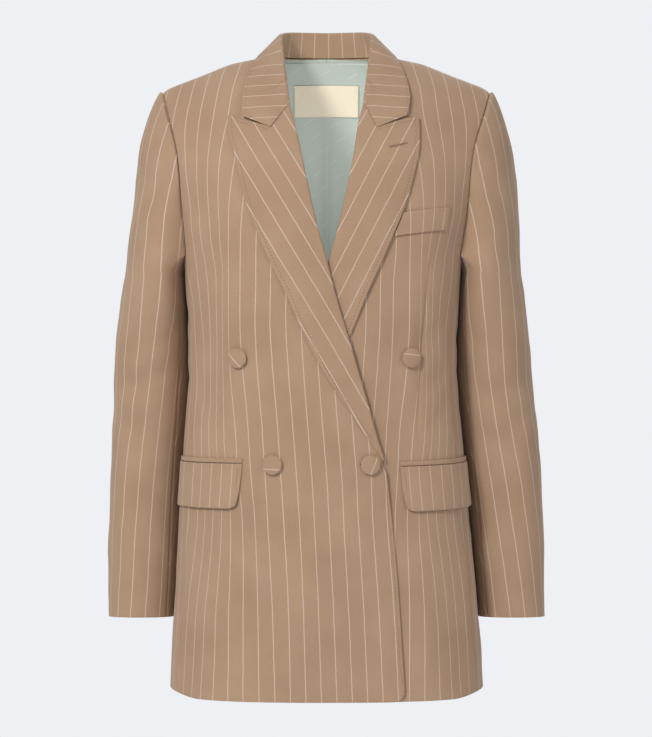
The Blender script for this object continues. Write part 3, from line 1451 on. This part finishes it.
capOuterCurve = curveThrough([(-262, 238.8), (-200, 236), (-150, 228), (-100, 217), (-60, 204), (-43, 197)])
capDepthCurve = curveThrough([(-262, 66), (-150, 60), (-43, 40)])


def armholePoint(angle):
    turn = (angle + 180) % 360 - 180
    corner = 120
    if abs(turn) >= corner:
        share = (abs(turn) - corner) / (180 - corner)
        ring = mix(sideSeamAt(chestZ) if turn < 0 else backSeam, 90, share)
        return ringPoint(ring, sideTop(ring))
    down = abs(turn) / corner
    up = 1 - mix(down * down, down, down)
    if turn > 0:
        return backPoint(1, mix(chestHeight, 1, up))
    z = mix(chestZ, -43, up)
    x = armholeCurve(z)
    return Vector((x, frontY(x, z), z))


def sleeveOval(z):
    inner = body["halfWidth"](z) + sleeves["clearance"] - 0.9 * exp(-(((z + 320) / 42) ** 2))
    halfWidth = (sleeveCurves["outer"](z) - inner) / 2
    return inner + halfWidth, sleeveCurves["middleY"](z), halfWidth, sleeveCurves["halfDepth"](z)


def sleeveRing(angle, z):
    centreX, middleY, halfWidth, halfDepth = sleeveOval(z)
    across, along, power = cos(radians(angle)), sin(radians(angle)), sleeves["roundness"]
    reach = (abs(across) ** power + abs(along) ** power) ** (-1 / power)
    # fuller in front of the underarm, so that it runs down out of the armhole
    turn = (angle + 180) % 360 - 180
    full = exp(-(((turn + 112) / 48) ** 2)) * ease(-400, capZ, z)
    x = centreX + halfWidth * reach * across - 5 * full
    return Vector((x, middleY + halfDepth * reach * along - 16 * full, z))


def bent(point, angle):
    for centre, z, spreadOut, tall, depth, slant in sleeves["bends"]:
        across = (angle - centre) / spreadOut
        along = (point.z - z - slant * (angle - centre)) / tall
        pressed = depth * exp(-across * across - along * along)
        point = point - Vector((cos(radians(angle)), sin(radians(angle)), 0)) * pressed
    return point


def sleevePoint(angle, height):
    capShare = sleeves["capShare"]
    if height <= capShare:
        return bent(sleeveRing(angle, mix(cuffZ, capZ, height / capShare)), angle)
    down = (1 - height) / (1 - capShare)
    start, end = armholePoint(angle), sleeveRing(angle, capZ)
    reach = (end - start).length
    outness = 0.62 + 0.38 * cos(radians(angle))
    leave = Vector((outness, 0.35 * sin(radians(angle)), -0.12 - 0.88 * (1 - outness))).normalized()
    d2, d3 = down**2, down**3
    point = start * (2 * d3 - 3 * d2 + 1) + leave * reach * mix(0.5, 0.3, outness) * (d3 - 2 * d2 + down)
    point += end * (3 * d2 - 2 * d3) + Vector((0, 0, -1)) * reach * 0.8 * (d3 - d2)
    return bent(point + leave * 0.15 * (1 - down), angle)


def roundSleeve(p, angle):
    # the distance round the sleeve from its front line
    if p.z <= capZ:
        centreX, middleY, halfWidth, halfDepth = sleeveOval(p.z)
    else:
        centreX, middleY = capOuterCurve(p.z) - capHalfWidth, capMiddleY
        halfWidth, halfDepth = capHalfWidth, capDepthCurve(p.z)
    turn = atan2((p.y - middleY) / halfDepth, (p.x - centreX) / halfWidth) * 180 / pi
    while turn < angle - 180:
        turn += 360
    while turn > angle + 180:
        turn -= 360
    swing = radians(turn + 90)
    return (halfWidth + halfDepth) / 2 * swing - (halfDepth - halfWidth) / 4 * sin(2 * swing)


def makeSleevePiece(side, part):
    first, last = (sleeves["frontSeam"], sleeves["backSeam"]) if part == "top" else \
        (sleeves["backSeam"], 360 + sleeves["frontSeam"])
    width = (last - first) / 360 * sleeves["perimeter"]
    angles = [mix(first + 0.15, last - 0.15, u) for u in spread(width, sleeves["columnSpace"])]
    capShare = sleeves["capShare"]
    heights = evenSteps(0, capShare, sleeves["rowSpace"] / (capZ - cuffZ) * capShare)
    heights += evenSteps(capShare, 0.985, 0.0125)[1:] + [0.99, 0.995, 1]
    base = [[sleevePoint(angle, height) for angle in angles] for height in heights]
    turned = curveThrough(sleeves["turn" + side.capitalize()])
    out = curveThrough(sleeves["out" + side.capitalize()])
    folds = sleeves["folds" + side.capitalize()]
    seed = (52.0 if part == "top" else 58.0) + (3.5 if side == "right" else 0)
    rounds = [[roundSleeve(p, angle) for p, angle in zip(row, angles)] for row in base]

    def lift(i, j, p):
        seam = min(angles[i] - first, last - angles[i]) * sleeves["perimeter"] / 360
        head = (1 - heights[j]) / (1 - capShare) * 150  # down from the armhole seam
        depth = foldDepth(folds, rounds[j][i], p.z) * ease(0, 16, head) * ease(0, 14, seam)
        ripple = softNoise(p, 42, 1.0, seed) + softNoise(p, 18, 0.3, seed + 2)
        depth += ripple * ease(0, 24, min(seam, head))
        top = max(0.0, cos(radians(angles[i] * 0.8))) if part == "top" else 0.0
        # full at the sleeve head, and drawn in along the seams
        depth += 1.5 * top * exp(-(((head - 7) / 6) ** 2)) + seamDip(head, 0.8, 2.0) + seamDip(seam, 0.65)
        depth += out(p.z) * max(0.0, cos(radians(angles[i]))) ** 1.5
        # the front of the sleeve turns in along the lower armhole
        if angles[i] < 0 or angles[i] > 180:
            depth -= 1.5 * exp(-((head / 8) ** 2)) * ease(-130, -190, p.z) * ease(0.5, 4, head)
        return depth

    outward = (1, 0, 0) if part == "top" else (-1, 0, 0)
    points = lifted(base, outward, lift)
    # the seam allowance lies inside, behind the body's cloth
    normals = normalsOf(base, outward)
    for step, sink in ((1.2, 1.9), (4.0, 2.6)):
        points.append([p + (a - b).normalized() * step - normal * sink
                       for p, a, b, normal in zip(points[len(base) - 1], base[-1], base[-4], normals[-1])])
    across = [[arc - turned(p.z) for arc, p in zip(arcs, row)] for arcs, row in zip(rounds, base)]
    along = [[p.z for p in row] for row in base]
    across += [across[-1]] * 2
    along += [along[-1]] * 2
    piece = layCloth("sleeve" + part.capitalize() + "." + side, points, (across, along), outward,
                     sleeves["wall"], [clothFinish, liningFinish], mirrored=side == "right")
    sew(piece, "sleeve_" + part + "_" + side)


for side in ("right", "left"):
    for part in ("top", "under"):
        makeSleevePiece(side, part)
print("sleeves are set in")

# ---- pockets

pockets = {
    "right": {"flapX": 94, "slant": 6.5, "topZ": -484, "rise": 0.5,
              "stripes": [105, 116.6, 128, 139.5, 149, 161]},
    "left": {"flapX": 88.5, "slant": 5, "topZ": -487.5, "rise": 4,
             "stripes": [98.3, 109.8, 122.5, 135, 146.6]},
    "endAngle": 84, "flapWidth": 148, "flapHeight": 52, "flapWall": 2.0, "corner": 7, "jetWidth": 150,
    "jetHeight": 5.4, "jetWall": 1.4, "gap": 0.9,
    "welt": {"outerX": 145.5, "topZ": -186.5, "width": 52, "height": 26.5, "slope": 0.135, "lean": 0.17,
             "wall": 1.7},
}


def onCloth(side, angle, z, lift):
    x = ringPoint(angle, z).x
    return onRing(angle, z, (frontDepth(side, x, z) if angle < sideSeam else 0) + lift)


def patchPoint(side, u, down, top, height, corner, lift):
    pocket = pockets[side]
    v = down / height
    rounded = corner * (1 - sqrt(max(0, 1 - max(0, 1 - u / 0.09) ** 2))) * ease(0.6, 1, v)
    z = pocket["topZ"] + top + pocket["rise"] * u - down + rounded
    start = ringAngle(pocket["flapX"] + pocket["slant"] * down / pockets["flapHeight"], z)
    angle = mix(start, pockets["endAngle"], u)
    return onCloth(side, angle, z, pockets["gap"] + lift), angle


def makeFlap(side):
    pocket, tall, wall = pockets[side], pockets["flapHeight"], pockets["flapWall"]
    columns = [0, 0.008, 0.016, 0.026, 0.038, 0.052, 0.07, 0.09]
    columns += evenSteps(0.108, 0.984, 0.0175) + [0.992, 1]
    downs = [tall * v for v in spread(tall, 2.2, (0, 0.8, 1.8, 3.0, 4.4))]
    wide, corner, marks = pockets["flapWidth"], pockets["corner"], pocket["stripes"]
    points, across, along = [], [], []
    for down in reversed(downs):
        row, s, run = [], [], 0.0
        for u in columns:
            free = min(tall - down, u * wide, 99)
            lift = wall + 0.45 * turnedEdge(free) + 0.5 * sin(pi * down / tall) * sin(pi * u)
            lift += (0.5 + 1.6 * ease(0.4, 0, u)) * ease(tall * 0.4, tall, down)
            lift += softNoise(Vector((u * 140, down, 0)), 30, 0.35, 60) - 0.5 * exp(-((down / 1.4) ** 2))
            p, angle = patchPoint(side, u, down, 0, tall, corner, lift)
            if row:
                run += sqrt((p.x - row[-1].x) ** 2 + (p.y - row[-1].y) ** 2)
            row.append(p)
            flatX = ringPoint(angle, p.z).x - pocket["slant"] * down / tall * 0.5
            if flatX < marks[-1]:
                k = max(0, next(n for n in range(len(marks)) if flatX < marks[n]) - 1)
                s.append((k + (flatX - marks[k]) / (marks[k + 1] - marks[k])) * pitch)
                last = (s[-1], run)
            else:
                s.append(last[0] + run - last[1])
        points.append(row)
        across.append(s)
        along.append([-down] * len(row))
    piece = layCloth("pocketFlap." + side, points, (across, along), (0, -1, 0), wall,
                     [clothFinish, liningFinish], mirrored=side == "right", edge=0.5)
    sew(piece, "pocket_flap_" + side)
    # the line of the pick stitches: down the end, round the corner and along the foot
    line = [(4.2 / wide, down) for down in evenSteps(5, tall - 9, 3)]
    line += [(0.034, tall - 7.2), (0.048, tall - 5.4)]
    line += [(u, tall - 4.3) for u in evenSteps(0.07, 0.97, 0.02)]
    path = []
    for u, down in line:
        a, b = (patchPoint(side, u, down, 0, tall, corner, wall + rise)[0] for rise in (-0.25, 0.75))
        path.append((a + (b - a) * 0.25, (b - a).normalized()))
    return path


def makeJet(side):
    tall, wall = pockets["jetHeight"], pockets["jetWall"]
    columns = evenSteps(0, 1, 0.02)
    points, across, along = [], [], []
    for down in (tall, tall - 0.7, tall - 1.6, tall / 2, 1.6, 0.7, 0):
        lift = wall - 0.35 + 0.35 * sin(pi * down / tall)
        points.append([patchPoint(side, u, down, tall + 0.8, tall, 0, lift)[0] for u in columns])
        across.append([pitch / 2 + down - tall / 2] * len(columns))
        along.append([u * pockets["jetWidth"] for u in columns])
    piece = layCloth("pocketJet." + side, points, (across, along), (0, -1, 0), wall, [clothFinish],
                     mirrored=side == "right", edge=0.4)
    sew(piece, "pocket_jet_" + side)


def makeWelt():
    welt = pockets["welt"]
    wide, tall = welt["width"], welt["height"]
    points, across, along = [], [], []
    for v in reversed(spread(tall, 2.2, (0, 0.7, 1.5, 2.6))):
        outerX = welt["outerX"] - welt["lean"] * v * tall
        guess = welt["topZ"] - welt["slope"] * (welt["outerX"] - 90) - v * tall
        innerX = lapelEdgeCurve(guess) + gorges["left"]["spread"] + 1.2
        row, s = [], []
        for u in spread(wide, 2.2, (0, 0.7, 1.5, 2.6)):
            x = mix(innerX, outerX, u)
            z = welt["topZ"] - welt["slope"] * (welt["outerX"] - x) - v * tall
            free = min((1 - u) * wide, v * tall + 0.6, (1 - v) * tall + 0.6)
            lift = welt["wall"] + 0.7 - 0.35 * exp(-((free / 1.3) ** 2))
            row.append(onFront(x, z, frontDepth("left", x, z) + lift + 0.5 * ease(0.5, 0, v)))
            s.append(stripeAt("left", x, z) * pitch + 0.6)
        points.append(row)
        across.append(s)
        along.append([p.z for p in row])
    piece = layCloth("breastWelt", points, (across, along), (0, -1, 0), welt["wall"], [clothFinish], edge=0.4)
    sew(piece, "breast_welt")


flapPaths = {}
for side in ("right", "left"):
    makeJet(side)
    flapPaths[side] = makeFlap(side)
makeWelt()
print("pockets are on")

# ---- buttons

buttonShape = {
    "radius": 11.5, "shank": 1.6, "height": 5.0, "edge": 1.3, "around": 48,
    "seats": [  # side, x, z, lie of the stripe in degrees, its distance from the middle
        ("right", -98.2, -362, 42, -3.4), ("right", -60.8, -485, 88, -5.2),
        ("right", 51.5, -485, -22, 4.0), ("left", 102.6, -362, 84, 4.2),
    ],
}


def makeButton(number, side, x, z, lie, off):
    normal = frontNormal(abs(x), z)
    if x < 0:
        normal.x = -normal.x
    seat = Vector((x + swayAt(x, z), frontY(abs(x), z), z))
    seat += normal * (0.4 + (frontDepth("left", abs(x), z) if side == "left" else 0))
    turn = Vector((0, 0, 1)).rotation_difference(normal)
    radius, shank, edge, around = (buttonShape[key] for key in ("radius", "shank", "edge", "around"))
    top = shank + buttonShape["height"] - 0.5
    # distance from the middle and height: the shank, the turned edge and the domed face
    profile = [(0, 0), (3, 0), (3, shank * 0.5), (3.4, shank), (radius - 3, shank + 0.1),
               (radius - edge, shank + 0.5)]
    for k in range(7):
        a = radians(-60 + 100 * k / 6)
        profile.append((radius - edge + edge * cos(a), shank + 1.65 + edge * sin(a)))
    domeRadius, domeFoot = radius - 0.35, shank + 2.5
    for k in range(1, 11):
        r = domeRadius * (1 - k / 10)
        profile.append((r, domeFoot + (top - domeFoot) * (1 - (r / domeRadius) ** 2.3)))
    bm = bmesh.new()
    grainMap = bm.loops.layers.uv.new("grain")
    rings, flats = [], {}
    for r, h in profile:
        ring = []
        for k in range(around if r > 0 else 1):
            a = 2 * pi * k / around
            out = r + 0.06 * sin(a * 14) * exp(-(((r - radius) / 0.8) ** 2))  # puckered at the edge
            vert = bm.verts.new((seat + turn @ Vector((out * cos(a), out * sin(a), h))) * mm)
            spot = turn @ Vector((r * cos(a), r * sin(a), 0))
            flats[vert] = (spot.x, spot.z)
            ring.append(vert)
        rings.append(ring)
    for lower, upper in zip(rings, rings[1:]):
        for k in range(around):
            n = (k + 1) % around
            corners = [ring[m % len(ring)] for ring, m in ((lower, k), (lower, n), (upper, n), (upper, k))]
            bm.faces.new(list(dict.fromkeys(corners)))
    bmesh.ops.recalc_face_normals(bm, faces=bm.faces)
    for face in bm.faces:
        face.smooth = True
        for loop in face.loops:
            a, b = flats[loop.vert]
            c, s = cos(radians(lie)), sin(radians(lie))
            loop[grainMap].uv = ((a * c + b * s - off) * mm, (b * c - a * s) * mm)
    piece = pieceFrom(bm, "coveredButton." + str(number), clothFinish)
    sew(piece, "button_" + str(number))


for number, seat in enumerate(buttonShape["seats"], 1):
    makeButton(number, *seat)
print("buttons are sewn on")

# ---- hand stitching and buttonholes

handwork = {
    "pick": (4.0, 2.1, 0.75), "inset": 4.3,  # spacing, length and width of a pick stitch
    "lapelHole": ((73.6, -119.2), (93.6, -114.7)), "frontHole": ((40.0, -484.6), (64.0, -485.2)),
    "eye": (39.2, -484.4),
}


def buttonhole(name, ends, lift, material, reach):
    # two rows of stitches side by side, with a bar at each end
    (x0, z0), (x1, z1) = ends
    work = Stitches()
    stitch = 0.62
    count = round(sqrt((x1 - x0) ** 2 + (z1 - z0) ** 2) / stitch)
    along = (onFront(x1, z1, 0) - onFront(x0, z0, 0)).normalized()
    path = []
    for k in range(count + 1):
        x, z = mix(x0, x1, k / count), mix(z0, z1, k / count)
        normal = frontNormal(abs(x), z)
        if x < 0:
            normal.x = -normal.x
        place = Vector((x, frontY(abs(x), z), z)) + normal * lift(abs(x), z)
        path += mirroredPath([(place, normal)], False)
    for place, normal in path:
        across = normal.cross(along).normalized()
        for way in (-1, 1):
            work.add(place + across * way * reach * 0.62, across, normal, reach * 1.35, stitch)
    for place, normal in (path[0], path[-1]):
        for k in range(-3, 4):
            across = normal.cross(along).normalized()
            work.add(place + across * k * 0.45, along, normal, 1.3, 0.55)
    work.finish(name, material)


picks = Stitches()
for side in ("right", "left"):
    free = edgePath(side, handwork["inset"], evenSteps(0.985, 0.008, 0.006), lapels["wall"] / 2 - 0.1)
    fall = [(p + n * (collarShape["wall"] / 2 - 0.1), n) for p, n in collarPaths[side]]
    for path in (free, fall, flapPaths[side]):
        picks.along(mirroredPath(path, side == "right"), *handwork["pick"])
edge = []
for row in frontGrids["right"]:
    if row[0].z > breakZ - 4:
        break
    k = min(range(8), key=lambda n: abs((row[n] - row[0]).length - handwork["inset"]))
    if row[0].z > hemZ + 14:
        edge.append((row[k], frontNormal(row[k].x, row[k].z)))
picks.along(mirroredPath(edge, True), *handwork["pick"])
picks.finish("pickStitching", pickThread)

buttonhole("lapelButtonhole", handwork["lapelHole"],
           lambda x, z: lapelSpace(z) + lapels["wall"] + 1.6 + frontDepth("left", x, z),
           lapelHoleThread, 0.85)
buttonhole("frontButtonhole", handwork["frontHole"], lambda x, z: 0.1, holeThread, 1.1)
eye = Stitches()
eye.add(onFront(*handwork["eye"], 0.1), Vector((1, 0, 0)), frontNormal(*handwork["eye"]), 1.9, 1.9)
eye.finish("buttonholeEye", threadFinish("eyeShade", "eye"))
print("stitching is done")
